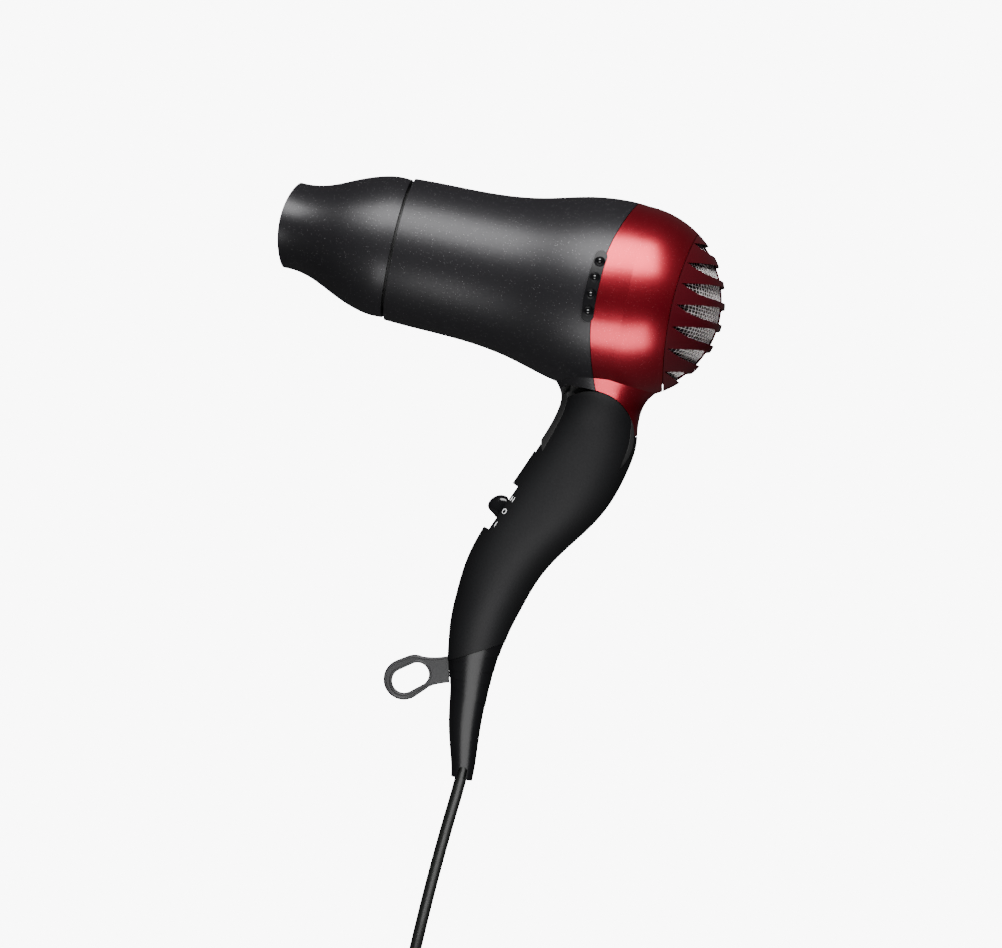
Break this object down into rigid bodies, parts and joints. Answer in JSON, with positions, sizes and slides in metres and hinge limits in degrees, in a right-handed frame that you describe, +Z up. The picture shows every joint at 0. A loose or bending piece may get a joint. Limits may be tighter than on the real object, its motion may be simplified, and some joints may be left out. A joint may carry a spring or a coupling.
{
  "type": "folding hair dryer",
  "caption": "Folding travel hair dryer: waisted round barrel with push-on nozzle, rear air grille over a mesh, curved grip with slide switch, hanging loop and mains cord.",
  "frame": {"origin": "middle of the hand's grip on the handle, on the symmetry plane", "axes": "+Z up the handle towards the blower, -X the way the air blows, +Y to the user's left-right symmetry normal"},
  "size_m": [0.2107, 0.1344, 0.3899],
  "materials": {
    "soft_black": "soft-touch matt coating",
    "guard_black": "satin moulded plastic",
    "loop_black": "matt moulded plastic",
    "knuckle_black": "satin moulded plastic",
    "gloss_black": "polished plastic",
    "metallic_black": "satin lacquer with sparse fine metallic flakes",
    "metallic_red": "satin metallic lacquer",
    "dark_red": "glossy lacquer",
    "woven_wire": "woven wire cloth over a dark space",
    "inner_black": "matt heat-resistant plastic",
    "cord_black": "smooth flexible sheath",
    "tie_white": "plastic-covered twist tie",
    "plug_black": "moulded plug body",
    "nickel": "nickel plate",
    "steel": "zinc-plated steel",
    "brass": "plain brass",
    "mica": "pressed mica board",
    "heater_wire": "resistance wire"
  },
  "bodies": {
    "handle": {"handle_left": "soft_black", "handle_right": "soft_black", "handle_screws": "steel", "switch_plate": "guard_black", "switch_case": "inner_black", "switch_terminals": "brass", "hinge_pin": "steel", "cord_guard": "guard_black", "hang_loop": "loop_black", "cord_lead": "cord_black", "cord_coil": "cord_black", "cord_tail": "cord_black", "coil_tie": "tie_white", "plug_body": "plug_black", "plug_pins": "nickel"},
    "head": {"front_shell": "metallic_black", "rear_shell": "metallic_red", "hinge_knuckle": "knuckle_black", "strip_left": "gloss_black", "strip_right": "gloss_black", "strip_studs": "gloss_black", "front_bulkhead": "inner_black", "outlet_spigot": "inner_black", "outlet_grille": "inner_black", "mica_cross": "mica", "mica_tube": "mica", "heating_coils": "heater_wire", "thermostat": "nickel", "fan_duct": "inner_black", "duct_seat": "inner_black", "motor_can": "steel", "motor_cradle": "inner_black"},
    "fan": {"fan_impeller": "inner_black", "motor_shaft": "steel"},
    "collar": {"nozzle_collar": "inner_black"},
    "nozzle": {"nozzle_shell": "metallic_black"},
    "grille": {"rear_grille": "dark_red", "filter_mesh": "woven_wire", "filter_frame": "inner_black"},
    "knob": {"switch_knob": "gloss_black"}
  },
  "joints": [
    {"name": "fold", "type": "hinge", "parent": "handle", "child": "head", "pos_m": [0.0168, 0, 0.0566], "axis": [0, -1, 0], "range_deg": [0, 70]},
    {"name": "fan_spin", "type": "hinge", "parent": "head", "child": "fan", "pos_m": [0.019, 0, 0.12], "axis": [1, 0, 0], "continuous": true},
    {"name": "nozzle_pull", "type": "slide", "parent": "head", "child": "collar", "axis": [-1, 0, 0], "range_m": [0, 0.015]},
    {"name": "nozzle_turn", "type": "hinge", "parent": "collar", "child": "nozzle", "pos_m": [-0.0915, 0, 0.12], "axis": [1, 0, 0], "continuous": true},
    {"name": "grille_pull", "type": "slide", "parent": "head", "child": "grille", "axis": [1, 0, 0], "range_m": [0, 0.015]},
    {"name": "switch_slide", "type": "slide", "parent": "handle", "child": "knob", "axis": [0.3665, 0, 0.9304], "range_m": [-0.006, 0.006]}
  ]
}
